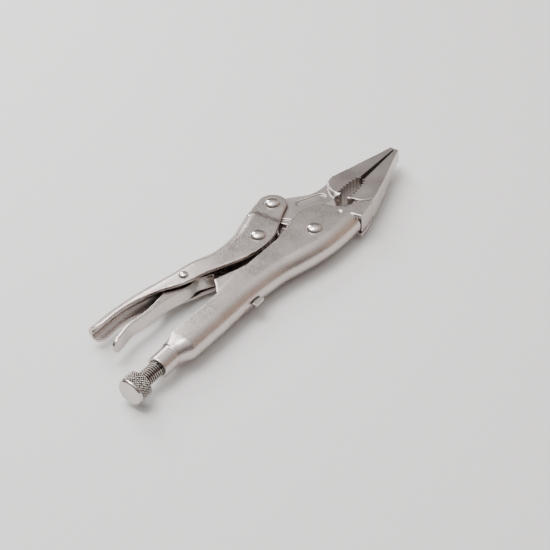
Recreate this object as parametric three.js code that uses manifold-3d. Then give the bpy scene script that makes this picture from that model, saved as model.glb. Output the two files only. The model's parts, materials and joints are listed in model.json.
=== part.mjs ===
// Long-nose locking pliers, lying on one side, in millimetres.
// The mechanism is laid out in the XY plane round the main pivot: +X runs to the jaw tips,
// +Y to the movable handle, and z = 0 is the tool's middle plane.
// The last lines move the finished tool so that its origin is the bottom centre of its box.
import * as THREE from 'three';
import Module from 'manifold-3d';
import { ConvexGeometry } from 'three/addons/geometries/ConvexGeometry.js';
import { mergeVertices } from 'three/addons/utils/BufferGeometryUtils.js';

const wasm = await Module();
wasm.setup();

// ---------- driving dimensions ----------

const MAIN_PIVOT = new THREE.Vector2(0, 0);
const LINK_PIVOT = new THREE.Vector2(5.8, 30.8); // movable jaw to movable handle
const TOGGLE_PIVOT = new THREE.Vector2(-20.5, 20.6); // toggle link to movable handle
const TOGGLE_SEAT = new THREE.Vector2(-62, 7); // toggle link's end, facing the screw
const SEAT_CLEARANCE = 3.7; // room for the end to wander where the linkage is left open
const LEVER_PIVOT = new THREE.Vector2(-65.2, 33.3);

const SHEET = 2.2; // thickness of both pressed handles
const GAP = 0.3; // clearance between neighbouring pieces
const BODY_HALF = 7; // half width of the fixed handle
const HANDLE_HALF = 7.5; // half width of the movable handle
const HANDLE_TAIL_HALF = 5.6; // the same at its tail
const EAR_HALF = 7; // the movable handle's ears, which hold the jaw
const BODY_INNER = BODY_HALF - SHEET;
const HANDLE_INNER = HANDLE_HALF - SHEET;
const TANG_HALF = BODY_INNER - GAP; // jaw tangs between the cheeks
const WING_OUTER = HANDLE_INNER - GAP - 0.1; // wings that pass inside the movable handle
const WING_INNER = WING_OUTER - SHEET;
const LINK_HALF = WING_INNER - GAP;
const LINK_END_R = 4;
const BOSS_R = 7.8; // the movable jaw's round boss, clear of the spine's inner curve
const NOSE_HALF = 6.8; // jaw noses at their thickest
const TIP_X = 85.5;
const TIP_THINNING = 0.42; // share of the nose's thickness lost by its tip

const SHAFT_R = 2.9;
const RUNNING = 0.06; // radial clearance round a rivet
const HEAD_R = 3.95;
const HEAD_HEIGHT = 2;
const HEAD_LIFT = 0.08; // air between a rivet head and the cheek
const LEVER_SHAFT_R = 1.5;
const LEVER_HEAD_R = 2.35;
const LEVER_HEAD_HEIGHT = 1.3;
const ARC_STEPS = 8; // facets round a channel's spine
const ROUND = 24; // sides of a round hole or shaft

const SCREW_Y = 7;
const KNOB_END_X = -138.9;
const KNOB_R = 7.1;
const KNOB_LENGTH = 8.7;
const THREAD_R = 4;
const THREAD_PITCH = 1.25;
const THREAD_DEPTH = 0.7;
const THREAD_LENGTH = 26;
const SHANK_R = 3.1;
const NECK_R = 5.7;
const NECK_BORE_R = 4.15;
const NECK_START_X = -118.8;
const SHOULDER_X = -108;
const CHANNEL_START_X = -101;
const CHEEK_TOP_Y = 11.8; // mouth of the channel at the tail
const WEB_END_X = 21.6; // the rounded spine stops here and the jaw shows below the cheeks

const PANEL_CENTRE = new THREE.Vector2(21.6, 17); // pressed into the movable jaw
const PANEL_TILT = -0.49;
const PANEL_REACH = 6; // from its centre to that of each round end
const PANEL_R = 2.6;

const COARSE_PITCH = 2.6;
const COARSE_DEPTH = 1.4;
const COARSE_TEETH = 7;
const FINE_PITCH = 1.3;
const FINE_DEPTH = 0.55;
const TEETH_BREAK_X = 50.4; // coarse teeth behind it, fine teeth in front

const SPRING_R = 2.6;
const SPRING_WIRE_R = 0.55;
const SPRING_TURNS = 18;
const SPRING_STEPS = 8; // per turn
const SPRING_FRONT = new THREE.Vector2(-17.5, 9.3);
const SPRING_REAR = new THREE.Vector2(-46.5, 3.2);
const HOOK_HOLE = new THREE.Vector2(-6.8, 13.3);
const HOOK_HOLE_R = 1.6;
const ANCHOR_X = -55.3;
const ANCHOR_HOLE_Y = 1;
const ANCHOR_TOP_Y = 2.6; // low enough for the toggle link to swing over
const ANCHOR_SEAT_Y = -3.2; // outside of the spine, where the anchor's head rests
const ANCHOR_STEM_HALF = 1.6;
const ANCHOR_HEAD_HALF = 3.2;
const ANCHOR_HALF = 0.75; // half its thickness
const LEVER_HALF = 4;
const LEVER_SHEET = 1.4;

const SATIN = { color: 0xc9c2be, roughness: 0.42, metalness: 0.9 };
const FORGED = { color: 0xc2bbb7, roughness: 0.5, metalness: 0.9 };
const BRIGHT = { color: 0xd8d2cc, roughness: 0.22, metalness: 1.0 };
const WIRE = { color: 0x8f8a86, roughness: 0.3, metalness: 1.0 };

// ---------- solids and booleans ----------

function solid(geometry) {
  const bare = geometry.index ? geometry.toNonIndexed() : geometry.clone();
  bare.deleteAttribute('normal');
  bare.deleteAttribute('uv');
  const merged = mergeVertices(bare, 1e-5);
  return new wasm.Manifold(new wasm.Mesh({
    numProp: 3,
    vertProperties: new Float32Array(merged.attributes.position.array),
    triVerts: new Uint32Array(merged.index.array),
  }));
}

function union(parts) {
  return parts.reduce((sum, part) => sum.add(part));
}

function node(name, body, look) {
  const mesh = body.getMesh();
  const geometry = new THREE.BufferGeometry();
  geometry.setAttribute('position', new THREE.BufferAttribute(mesh.vertProperties, 3));
  geometry.setIndex(new THREE.BufferAttribute(mesh.triVerts, 1));
  geometry.computeVertexNormals();
  const result = new THREE.Mesh(geometry, new THREE.MeshStandardMaterial(look));
  result.name = name;
  return result;
}

function points(...pairs) {
  return pairs.map(([x, y]) => new THREE.Vector2(x, y));
}

// A plate with the given outline between two heights.
function plate(shape, low, high, curveSegments = 4) {
  const depth = high - low;
  const geometry = new THREE.ExtrudeGeometry(shape, { depth, bevelEnabled: false, curveSegments });
  geometry.translate(0, 0, low);
  return solid(geometry);
}

// The same plate on both sides of the middle plane.
function platePair(shape, low, high) {
  return plate(shape, low, high).add(plate(shape, -high, -low));
}

// A round bar across the tool, centred on the middle plane.
function crossBar(centre, radius, halfLength, sides = ROUND) {
  const geometry = new THREE.CylinderGeometry(radius, radius, 2 * halfLength, sides);
  geometry.rotateX(Math.PI / 2);
  geometry.translate(centre.x, centre.y, 0);
  return solid(geometry);
}

// A solid turned about the screw's axis from [x, radius] pairs.
function turned(profile, sides = ROUND) {
  const outline = profile.map(([x, radius]) => new THREE.Vector2(radius, x));
  const geometry = new THREE.LatheGeometry(outline, sides);
  geometry.rotateZ(-Math.PI / 2);
  geometry.translate(0, SCREW_Y, 0);
  return solid(geometry);
}

// A D-shaped section, with its round side towards -y, of the given half width and height.
function roundedSection(half, height, steps) {
  const section = new THREE.Shape();
  section.moveTo(half, height);
  section.lineTo(-half, height);
  section.lineTo(-half, 0);
  for (let i = 1; i <= steps; i += 1) {
    const angle = Math.PI + (Math.PI * i) / steps;
    section.lineTo(half * Math.cos(angle), half * Math.sin(angle));
  }
  return section;
}

// A D-shaped bar that follows a line in the middle plane. side is +1 where its round side
// faces -Y and -1 where it faces +Y.
function spineBar(line, half, height, side, steps) {
  const section = roundedSection(half, height, ARC_STEPS);
  const path = new THREE.CatmullRomCurve3(
    line.map((p) => new THREE.Vector3(p.x, p.y * side, 0)),
    false,
    'centripetal',
  );
  const geometry = new THREE.ExtrudeGeometry(section, { steps, extrudePath: path });
  if (side < 0) {
    geometry.rotateX(Math.PI);
  }
  return geometry;
}

// ---------- fixed handle ----------

// Centre line of the fixed handle's rounded spine.
const BODY_SPINE = points(
  [CHANNEL_START_X, 4.8], [-80, 4.2], [-60, 4], [-45, 3], [-30, 0.8],
  [-20, -2], [-10, -4.7], [0, -6.5], [10, -7.2], [WEB_END_X, -7.3],
);

// The hollow runs on past the spine's cut end, so that the end is open.
const HOLLOW_SPINE = [...BODY_SPINE, new THREE.Vector2(WEB_END_X + 2.4, BODY_SPINE.at(-1).y)];

// The cheeks seen from the side; the spine's side of the outline is left wide.
function cheekOutline() {
  const outline = new THREE.Shape();
  outline.moveTo(CHANNEL_START_X - 5, -20);
  outline.lineTo(WEB_END_X - 0.8, -20);
  outline.lineTo(WEB_END_X, -15);
  outline.splineThru(points([30, -13.8], [36.8, -11.6]));
  outline.splineThru(points([33.2, -9], [31.2, -6.6], [29.5, -5.2]));
  outline.splineThru(points([26, -3.9], [23.6, -2.2], [22.6, 0]));
  outline.splineThru(points([21.2, 2], [20.6, 5], [18.6, 9], [14.5, 12.4], [9, 14.3], [4, 14.8]));
  outline.splineThru(points([-2, 14.2], [-8, 12.2], [-14, 11.2], [-22, 11.2]));
  outline.lineTo(-46, 12);
  outline.lineTo(-60, 11.6);
  outline.lineTo(-68, 10.9);
  outline.splineThru(points([-85, 11.2], [CHANNEL_START_X - 5, CHEEK_TOP_Y]));
  return outline;
}

// The set-in wings beside the toggle link, which the movable handle closes over.
function wingOutline() {
  const outline = new THREE.Shape();
  outline.moveTo(-68, 10);
  outline.splineThru(points([-65.4, 12.6], [-61, 16.4], [-57.8, 20.1]));
  outline.splineThru(points([-54, 18.6], [-46, 15.6], [-38, 12.6], [-34, 10]));
  return outline;
}

function wingRootOutline() {
  const outline = new THREE.Shape();
  outline.setFromPoints(points([-68, 9.4], [-34, 9.4], [-34.5, 10.9], [-50, 11.6], [-66.8, 11]));
  return outline;
}

// The tail closes from a channel to the round neck that carries the screw.
function neck() {
  return turned([
    [NECK_START_X, 0], [NECK_START_X, NECK_R - 0.5], [NECK_START_X + 0.6, NECK_R],
    [SHOULDER_X + 1, NECK_R], [SHOULDER_X + 1, 0],
  ]);
}

// The flared shoulder, drawn between the neck's circle and the channel's section.
function shoulder() {
  const corners = [];
  for (let i = 0; i < ROUND; i += 1) {
    const angle = (2 * Math.PI * i) / ROUND;
    const radius = NECK_R + 0.6;
    corners.push(new THREE.Vector3(
      SHOULDER_X,
      SCREW_Y + radius * Math.cos(angle),
      radius * Math.sin(angle),
    ));
  }
  const half = BODY_HALF - 0.03;
  const spineY = BODY_SPINE[0].y;
  for (const point of roundedSection(half, CHEEK_TOP_Y - spineY - 0.03, ARC_STEPS).getPoints(1)) {
    corners.push(new THREE.Vector3(CHANNEL_START_X + 0.4, spineY + point.y, point.x));
  }
  return solid(new ConvexGeometry(corners));
}

function neckBore() {
  return turned([
    [NECK_START_X - 1, 0], [NECK_START_X - 1, NECK_BORE_R], [CHANNEL_START_X + 3, NECK_BORE_R],
    [CHANNEL_START_X + 3, 0],
  ]);
}

function anchorSlot(clearance) {
  const slot = new THREE.Shape();
  const half = ANCHOR_STEM_HALF + clearance;
  slot.setFromPoints(points(
    [ANCHOR_X - half, -8], [ANCHOR_X + half, -8], [ANCHOR_X + half, 2], [ANCHOR_X - half, 2],
  ));
  return plate(slot, -ANCHOR_HALF - clearance, ANCHOR_HALF + clearance);
}

function fixedHandle() {
  const outer = solid(spineBar(BODY_SPINE, BODY_HALF, 30, 1, 20));
  const inner = solid(spineBar(HOLLOW_SPINE, BODY_INNER, 32, 1, 21));
  const cheeks = outer.intersect(plate(cheekOutline(), -9, 9));
  const front = new THREE.Shape();
  front.setFromPoints(points([20.9, -12], [WEB_END_X, -16], [50, -16], [50, 20], [20.9, 20]));
  const flanges = platePair(cheekOutline(), BODY_INNER, BODY_HALF).intersect(plate(front, -9, 9));
  const wings = platePair(wingOutline(), WING_INNER, WING_OUTER)
    .add(platePair(wingRootOutline(), WING_INNER, BODY_HALF - 0.02));
  return cheeks
    .add(shoulder())
    .subtract(inner)
    .add(neck())
    .add(flanges)
    .add(wings)
    .subtract(neckBore())
    .subtract(anchorSlot(GAP / 2))
    .subtract(crossBar(MAIN_PIVOT, SHAFT_R + RUNNING, 10));
}

// ---------- jaws ----------

// Saw teeth along a line from start to end. outward is +1 where the tips point to +Y.
function addTeeth(shape, start, end, count, depth, outward) {
  const step = new THREE.Vector2().subVectors(end, start).divideScalar(count);
  for (let i = 0; i < count; i += 1) {
    const root = new THREE.Vector2().copy(start).addScaledVector(step, i + 0.5);
    const tip = new THREE.Vector2().copy(start).addScaledVector(step, i + 1);
    shape.lineTo(root.x, root.y);
    shape.lineTo(tip.x, tip.y + outward * depth);
  }
}

// Coarse teeth sit round a shallow hollow, sagging from the line between its two ends.
function addCoarseTeeth(shape, start, end, sag, outward) {
  const at = (t) => new THREE.Vector2().lerpVectors(start, end, t).add(
    new THREE.Vector2(0, -outward * sag * 4 * t * (1 - t)),
  );
  for (let i = 0; i < COARSE_TEETH; i += 1) {
    const root = at((i + 0.5) / COARSE_TEETH);
    const tip = at((i + 1) / COARSE_TEETH);
    shape.lineTo(root.x, root.y);
    shape.lineTo(tip.x, tip.y + outward * COARSE_DEPTH);
  }
}

const FINE_COUNT = Math.round((TIP_X - 2 - TEETH_BREAK_X) / FINE_PITCH);
const COARSE_END_X = TEETH_BREAK_X - COARSE_TEETH * COARSE_PITCH;

// Noses are thick at the throat and thin evenly to the tip.
function noseThinned(shape) {
  const geometry = new THREE.ExtrudeGeometry(shape, {
    depth: 2 * NOSE_HALF, bevelEnabled: false, curveSegments: 6,
  });
  geometry.translate(0, 0, -NOSE_HALF);
  const place = geometry.attributes.position;
  const startX = 30;
  for (let i = 0; i < place.count; i += 1) {
    const along = (place.getX(i) - startX) / (TIP_X - startX);
    place.setZ(i, place.getZ(i) * (1 - TIP_THINNING * along));
  }
  return solid(geometry);
}

function movableNoseOutline() {
  const outline = new THREE.Shape();
  outline.moveTo(TIP_X, 5.5);
  outline.lineTo(TIP_X, 6.9);
  outline.splineThru(points([83.8, 8.1], [75, 10.3], [65, 12.9], [56, 14.9], [48, 17.1], [43, 18.3]));
  outline.splineThru(points([40.5, 18], [37.6, 17.2]));
  outline.splineThru(points([34.3, 14.2], [32.3, 10.6], [31.9, 6.9]));
  outline.lineTo(COARSE_END_X, 6.4);
  return outline;
}

function movableNose() {
  const outline = movableNoseOutline();
  const coarseStart = new THREE.Vector2(COARSE_END_X, 7.6);
  const coarseEnd = new THREE.Vector2(TEETH_BREAK_X, 6.6);
  addCoarseTeeth(outline, coarseStart, coarseEnd, 0.9, -1);
  const fineStart = new THREE.Vector2(TEETH_BREAK_X, 5.9);
  const fineEnd = new THREE.Vector2(TIP_X - 1.8, 5.75);
  addTeeth(outline, fineStart, fineEnd, FINE_COUNT, FINE_DEPTH, -1);
  return noseThinned(outline);
}

function movableTangOutline() {
  const outline = new THREE.Shape();
  outline.moveTo(36, 7.6);
  outline.lineTo(41, 17.4);
  outline.lineTo(40, 18.1);
  outline.splineThru(points([36, 18.2], [32, 18.4], [28, 19.3], [24.5, 21.1], [21, 24.3]));
  outline.splineThru(points([17.5, 27.8], [13.4, 31.5]));
  outline.absarc(LINK_PIVOT.x, LINK_PIVOT.y, 7.4, 0, Math.PI, false);
  outline.splineThru(points([-2.6, 26], [-4.6, 21], [-7.6, 17.2], [-9.4, 14.6]));
  outline.splineThru(points([-9.9, 12.2], [-9.4, 8]));
  outline.absarc(0, 0, BOSS_R, Math.PI * 0.86, Math.PI * 1.85, false);
  outline.splineThru(points([13.5, -1.2], [21.8, 0.3]));
  outline.splineThru(points([24.2, 2.2], [27, 4.6], [30, 6.2], [33, 6.9]));
  return outline;
}

// A shallow panel with round ends, pressed into both faces of the jaw.
function panelOutline() {
  const outline = new THREE.Shape();
  outline.absarc(-PANEL_REACH, 0, PANEL_R, Math.PI / 2, Math.PI * 1.5, false);
  outline.absarc(PANEL_REACH, 0, PANEL_R, -Math.PI / 2, Math.PI / 2, false);
  return outline;
}

function jawPanels() {
  const cuts = [TANG_HALF - 0.5, -TANG_HALF - 1].map((low) => {
    const geometry = new THREE.ExtrudeGeometry(panelOutline(), {
      depth: 1.5, bevelEnabled: false, curveSegments: 8,
    });
    geometry.rotateZ(PANEL_TILT);
    geometry.translate(PANEL_CENTRE.x, PANEL_CENTRE.y, low);
    return solid(geometry);
  });
  return union(cuts);
}

function movableJaw() {
  const hookRecess = new THREE.Shape();
  hookRecess.setFromPoints(points([-14, 5], [-3.6, 12.2], [-2.2, 19.5], [-14, 24]));
  const tang = plate(movableTangOutline(), -TANG_HALF, TANG_HALF)
    .subtract(platePair(hookRecess, 1.6, 9));
  return tang
    .add(movableNose())
    .subtract(jawPanels())
    .subtract(crossBar(HOOK_HOLE, HOOK_HOLE_R, 6, 20))
    .subtract(crossBar(MAIN_PIVOT, SHAFT_R + RUNNING, 10))
    .subtract(crossBar(LINK_PIVOT, SHAFT_R + RUNNING, 10));
}

function fixedNose() {
  const outline = new THREE.Shape();
  outline.moveTo(38.4, -11.6);
  outline.splineThru(points([44, -10.2], [50, -8.4], [58, -6.1], [70, -2], [84, 2.5]));
  outline.lineTo(TIP_X, 3.3);
  outline.lineTo(TIP_X, 5);
  const fineStart = new THREE.Vector2(TIP_X - 1.8, 4.3);
  const fineEnd = new THREE.Vector2(TEETH_BREAK_X, 2.1);
  addTeeth(outline, fineStart, fineEnd, FINE_COUNT, FINE_DEPTH, 1);
  const coarseStart = new THREE.Vector2(TEETH_BREAK_X, 1.3);
  const coarseEnd = new THREE.Vector2(COARSE_END_X, -1.3);
  addCoarseTeeth(outline, coarseStart, coarseEnd, 0.6, 1);
  outline.lineTo(COARSE_END_X - 1, -0.9);
  outline.splineThru(points([32.2, -2.4], [33, -6], [35.3, -9.2], [38.4, -11.6]));
  return noseThinned(outline);
}

function fixedTang() {
  const outline = new THREE.Shape();
  outline.moveTo(8.5, -13);
  outline.lineTo(WEB_END_X + 0.6, -13);
  outline.lineTo(WEB_END_X + 0.8, -14.6);
  outline.splineThru(points([30, -13.5], [38, -11.4]));
  outline.lineTo(40, -8);
  outline.lineTo(36, -2.6);
  outline.lineTo(32, -2.6);
  outline.splineThru(points([29.5, -4.2], [26.5, -3.6], [23.6, -1.6], [22, -0.2]));
  outline.lineTo(8.5, -0.2);
  return plate(outline, -TANG_HALF, TANG_HALF);
}

function fixedJaw() {
  const freeX = WEB_END_X + GAP;
  const channel = solid(spineBar(HOLLOW_SPINE, TANG_HALF, 34, 1, 21));
  const beyondSheet = new THREE.Shape();
  beyondSheet.setFromPoints(points([freeX, -30], [60, -30], [60, 20], [freeX, 20]));
  const room = channel.add(plate(beyondSheet, -TANG_HALF, TANG_HALF));
  return fixedTang()
    .intersect(room)
    .subtract(crossBar(MAIN_PIVOT, BOSS_R + GAP, 12, 48))
    .subtract(plate(movableClearance(), -10, 10))
    .add(fixedNose());
}

// Keeps the fixed jaw's tang clear of the movable jaw's swing.
function movableClearance() {
  const outline = new THREE.Shape();
  outline.setFromPoints(points([6, -5.2], [10, -3.8], [14, -2.1], [18, -1.3], [22.8, -0.3], [23, 3], [6, 6]));
  return outline;
}

// ---------- movable handle ----------

const HANDLE_SPINE = points(
  [-117.4, 43.8], [-105, 43.6], [-95, 42.6], [-85, 40.5], [-75, 37.7], [-65, 35], [-55, 32.8],
  [-45, 28.7], [-36, 27.2], [-28, 27.2], [-22, 27.9], [-15, 29.8], [-8, 31.7], [-3, 32.9],
);

function handleOutline() {
  const outline = new THREE.Shape();
  outline.moveTo(-117.3, 60);
  outline.splineThru(points([-117.2, 48.6], [-115.8, 46], [-113, 44.7]));
  outline.splineThru(points([-108, 44.6], [-104, 44.6], [-95, 43.2], [-88, 40.8], [-80, 37], [-75, 33.6]));
  outline.splineThru(points([-70, 30.2], [-65, 28], [-60, 26.4], [-55, 24.3], [-45, 19.4], [-38, 16.3]));
  outline.splineThru(points([-31, 14], [-25, 13.1], [-20, 13.2], [-14, 14.2], [-7, 17], [-3.4, 18.7]));
  outline.lineTo(-3.4, 60);
  return outline;
}

function earOutline() {
  const outline = new THREE.Shape();
  outline.moveTo(-9, 36.2);
  outline.lineTo(-9, 16.4);
  outline.splineThru(points([-4, 18.6], [2, 21.2], [7.5, 23.2]));
  outline.absarc(LINK_PIVOT.x, LINK_PIVOT.y, 7.8, -Math.PI * 0.36, Math.PI * 0.6, false);
  return outline;
}

// Share of full width at a point along the movable handle.
function handleWidth(x) {
  const t = THREE.MathUtils.smoothstep(-x, 50, 100);
  return THREE.MathUtils.lerp(1, HANDLE_TAIL_HALF / HANDLE_HALF, t);
}

function narrowed(geometry) {
  const place = geometry.attributes.position;
  for (let i = 0; i < place.count; i += 1) {
    place.setZ(i, place.getZ(i) * handleWidth(place.getX(i)));
  }
  return solid(geometry);
}

function movableHandle() {
  const outer = narrowed(spineBar(HANDLE_SPINE, HANDLE_HALF, 34, -1, 24));
  const inner = narrowed(spineBar(HANDLE_SPINE, HANDLE_INNER, 36, -1, 24));
  const shell = outer
    .intersect(plate(handleOutline(), -9, 9))
    .subtract(inner);
  return shell
    .add(platePair(earOutline(), EAR_HALF - SHEET, EAR_HALF))
    .subtract(crossBar(LINK_PIVOT, SHAFT_R + RUNNING, 10))
    .subtract(crossBar(TOGGLE_PIVOT, SHAFT_R + RUNNING, 10))
    .subtract(crossBar(LEVER_PIVOT, LEVER_SHAFT_R + RUNNING, 10, 24));
}

// ---------- inside: toggle link, release lever, screw ----------

function toggleLink() {
  const bar = new THREE.Shape();
  bar.moveTo(-20.5, 15.6);
  bar.splineThru(points([-30, 13], [-45, 7.6], [-56, 4], [-61, 3.2]));
  bar.absarc(TOGGLE_SEAT.x, TOGGLE_SEAT.y, LINK_END_R, -Math.PI / 2, -Math.PI * 1.4, true);
  bar.splineThru(points([-60, 12.5], [-57.5, 16.6], [-54, 20.2], [-51, 20.6]));
  bar.splineThru(points([-47, 18.4], [-40, 17.6], [-32, 20.6], [-24, 24.4]));
  bar.absarc(TOGGLE_PIVOT.x, TOGGLE_PIVOT.y, 5, Math.PI * 0.8, -Math.PI / 2, true);
  return plate(bar, -LINK_HALF, LINK_HALF)
    .add(crossBar(TOGGLE_PIVOT, 5, HANDLE_INNER - GAP))
    .subtract(crossBar(TOGGLE_PIVOT, SHAFT_R + RUNNING, 10));
}

// Lower line of the release lever: the channel from its nose to its throat, then the thumb tab.
const LEVER_WEB = [
  [-53.5, 23.4], [-57, 25.6], [-62, 28.2], [-68, 28], [-73, 28.9],
  [-79, 30.8], [-86, 31.9], [-92, 32.1], [-97, 32.6],
];
const LEVER_TAB = [[-101, 33.5], [-105, 34], [-109, 33.6], [-113, 32.8], [-117, 32.3], [-120, 32.2]];

function leverSide() {
  const outline = new THREE.Shape();
  outline.moveTo(...LEVER_WEB[0]);
  outline.splineThru(points(...LEVER_WEB.slice(1), ...LEVER_TAB));
  outline.lineTo(-120, 33.7);
  outline.splineThru(points([-117, 33.8], [-113, 34.3], [-109, 35.1], [-105, 35.5], [-101, 35.1]));
  outline.splineThru(points([-94, 34.4], [-86, 34.6], [-78, 36], [-70, 37.4]));
  outline.splineThru(points([-65, 37.6], [-60.6, 34.6], [-56, 28.4], [-52.4, 25.2]));
  return outline;
}

function releaseLever() {
  const hollow = new THREE.Shape();
  const web = LEVER_WEB.slice(1).map(([x, y]) => [x, y + LEVER_SHEET]);
  hollow.moveTo(...web[0]);
  hollow.splineThru(points(...web.slice(1)));
  hollow.lineTo(-97.5, 45);
  hollow.lineTo(-57, 45);
  return plate(leverSide(), -LEVER_HALF, LEVER_HALF)
    .subtract(plate(hollow, -LEVER_HALF + LEVER_SHEET, LEVER_HALF - LEVER_SHEET))
    .subtract(crossBar(LEVER_PIVOT, LEVER_SHAFT_R + RUNNING, 10, 24));
}

function adjustingScrew() {
  const knobFront = KNOB_END_X + KNOB_LENGTH;
  const seat = TOGGLE_SEAT.x - LINK_END_R - SEAT_CLEARANCE;
  const threadEnd = knobFront + THREAD_LENGTH;
  const root = THREAD_R - THREAD_DEPTH;
  const profile = [
    [KNOB_END_X, 0], [KNOB_END_X, KNOB_R - 1.5], [KNOB_END_X + 0.5, KNOB_R - 0.6],
    [KNOB_END_X + 1.1, KNOB_R - 0.3], [KNOB_END_X + 1.5, KNOB_R], [knobFront - 0.7, KNOB_R],
    [knobFront, KNOB_R - 0.7],
  ];
  const ridges = Math.floor((THREAD_LENGTH - 1) / THREAD_PITCH);
  for (let i = 0; i < ridges; i += 1) {
    const x = knobFront + 0.6 + i * THREAD_PITCH;
    profile.push([x, root], [x + THREAD_PITCH / 2, THREAD_R]);
  }
  profile.push([threadEnd - 0.4, root], [threadEnd, SHANK_R], [seat - 1, SHANK_R], [seat, SHANK_R - 1]);
  profile.push([seat, 0]);
  return turned(profile, 20);
}

// ---------- spring and its anchor ----------

// Coil with a hook at each end: one through the jaw's hole, one through the anchor's.
function springLine() {
  const at = (x, y, z) => new THREE.Vector3(x, y, z);
  const axis = new THREE.Vector2().subVectors(SPRING_REAR, SPRING_FRONT);
  const along = axis.clone().normalize();
  const across = new THREE.Vector2(-along.y, along.x);
  const line = [
    at(HOOK_HOLE.x, HOOK_HOLE.y, -2.2), at(HOOK_HOLE.x, HOOK_HOLE.y, 1.4),
    at(HOOK_HOLE.x - 1, HOOK_HOLE.y + 0.1, 2.5), at(HOOK_HOLE.x - 4.5, HOOK_HOLE.y - 0.4, 2.9),
    at(HOOK_HOLE.x - 8, HOOK_HOLE.y - 2.2, 2.8),
  ];
  const count = SPRING_TURNS * SPRING_STEPS;
  for (let i = 0; i <= count; i += 1) {
    const angle = Math.PI / 2 - (2 * Math.PI * i) / SPRING_STEPS;
    const lift = SPRING_R * Math.cos(angle);
    const base = new THREE.Vector2().lerpVectors(SPRING_FRONT, SPRING_REAR, i / count);
    line.push(at(base.x + across.x * lift, base.y + across.y * lift, SPRING_R * Math.sin(angle)));
  }
  line.push(
    at(ANCHOR_X + 5, ANCHOR_HOLE_Y + 1, 2.4), at(ANCHOR_X + 1, ANCHOR_HOLE_Y + 0.1, 1.9),
    at(ANCHOR_X, ANCHOR_HOLE_Y, 0.8), at(ANCHOR_X, ANCHOR_HOLE_Y, -1.7),
  );
  return new THREE.CatmullRomCurve3(line, false, 'centripetal');
}

function tensionSpring() {
  const ring = new THREE.Shape();
  ring.absarc(0, 0, SPRING_WIRE_R, 0, 2 * Math.PI, false);
  const path = springLine();
  return solid(new THREE.ExtrudeGeometry(ring, {
    steps: path.points.length - 1, curveSegments: 2, extrudePath: path,
  }));
}

// Flat hook plate: its head sits outside the spine, its stem passes through the slot.
function springAnchor() {
  const outline = new THREE.Shape();
  const seatY = ANCHOR_SEAT_Y - GAP;
  outline.setFromPoints(points(
    [ANCHOR_X - ANCHOR_HEAD_HALF, seatY - 2.7], [ANCHOR_X + ANCHOR_HEAD_HALF, seatY - 2.7],
    [ANCHOR_X + ANCHOR_HEAD_HALF, seatY], [ANCHOR_X + ANCHOR_STEM_HALF, seatY],
    [ANCHOR_X + ANCHOR_STEM_HALF, ANCHOR_TOP_Y], [ANCHOR_X - ANCHOR_STEM_HALF, ANCHOR_TOP_Y],
    [ANCHOR_X - ANCHOR_STEM_HALF, seatY], [ANCHOR_X - ANCHOR_HEAD_HALF, seatY],
  ));
  return plate(outline, -ANCHOR_HALF, ANCHOR_HALF)
    .subtract(crossBar(new THREE.Vector2(ANCHOR_X, ANCHOR_HOLE_Y), 0.95, 2, 16));
}

// ---------- rivets ----------

function rivet(centre, shaftR, headR, headHeight, cheek) {
  const low = cheek + HEAD_LIFT;
  const profile = [new THREE.Vector2(0, -low - headHeight)];
  const steps = 4;
  for (let i = 1; i <= steps; i += 1) {
    const angle = (Math.PI / 2) * (i / steps);
    profile.push(new THREE.Vector2(headR * Math.sin(angle), -low - headHeight * Math.cos(angle)));
  }
  profile.push(new THREE.Vector2(shaftR, -low), new THREE.Vector2(shaftR, low));
  for (let i = steps; i >= 1; i -= 1) {
    const angle = (Math.PI / 2) * (i / steps);
    profile.push(new THREE.Vector2(headR * Math.sin(angle), low + headHeight * Math.cos(angle)));
  }
  profile.push(new THREE.Vector2(0, low + headHeight));
  const geometry = new THREE.LatheGeometry(profile, ROUND);
  geometry.rotateX(Math.PI / 2);
  geometry.translate(centre.x, centre.y, 0);
  return solid(geometry);
}

// ---------- the whole tool ----------

// The cheek slopes here, so the lever's rivet seats on the wider side of its head.
const leverCheek = HANDLE_HALF * handleWidth(LEVER_PIVOT.x + LEVER_HEAD_R);
const tool = new THREE.Group();
tool.add(
  node('fixed_handle', fixedHandle(), SATIN),
  node('fixed_jaw', fixedJaw(), FORGED),
  node('movable_jaw', movableJaw(), FORGED),
  node('movable_handle', movableHandle(), SATIN),
  node('toggle_link', toggleLink(), SATIN),
  node('release_lever', releaseLever(), BRIGHT),
  node('adjusting_screw', adjustingScrew(), BRIGHT),
  node('tension_spring', tensionSpring(), WIRE),
  node('spring_anchor', springAnchor(), SATIN),
  node('main_pivot_rivet', rivet(MAIN_PIVOT, SHAFT_R, HEAD_R, HEAD_HEIGHT, BODY_HALF), BRIGHT),
  node('jaw_link_rivet', rivet(LINK_PIVOT, SHAFT_R, HEAD_R, HEAD_HEIGHT, EAR_HALF), BRIGHT),
  node('toggle_rivet', rivet(TOGGLE_PIVOT, SHAFT_R, HEAD_R, HEAD_HEIGHT, HANDLE_HALF), BRIGHT),
  node('lever_rivet', rivet(LEVER_PIVOT, LEVER_SHAFT_R, LEVER_HEAD_R, LEVER_HEAD_HEIGHT, leverCheek), BRIGHT),
);

const box = new THREE.Box3().setFromObject(tool);
const centre = box.getCenter(new THREE.Vector3());
tool.position.set(-centre.x, -centre.y, -box.min.z);

export default tool;
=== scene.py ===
"""Looks for the long-nose locking pliers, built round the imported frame.

Shapes are made in millimetres in the tool's own plane, with the main pivot at the origin, +X towards
the jaw tips, +Y towards the movable handle and z = 0 at the middle plane. finished() scales each
mesh to metres and moves it to the frame's main pivot.
"""
import json
import math

import bmesh
import bpy
from mathutils import Matrix, Vector

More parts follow.
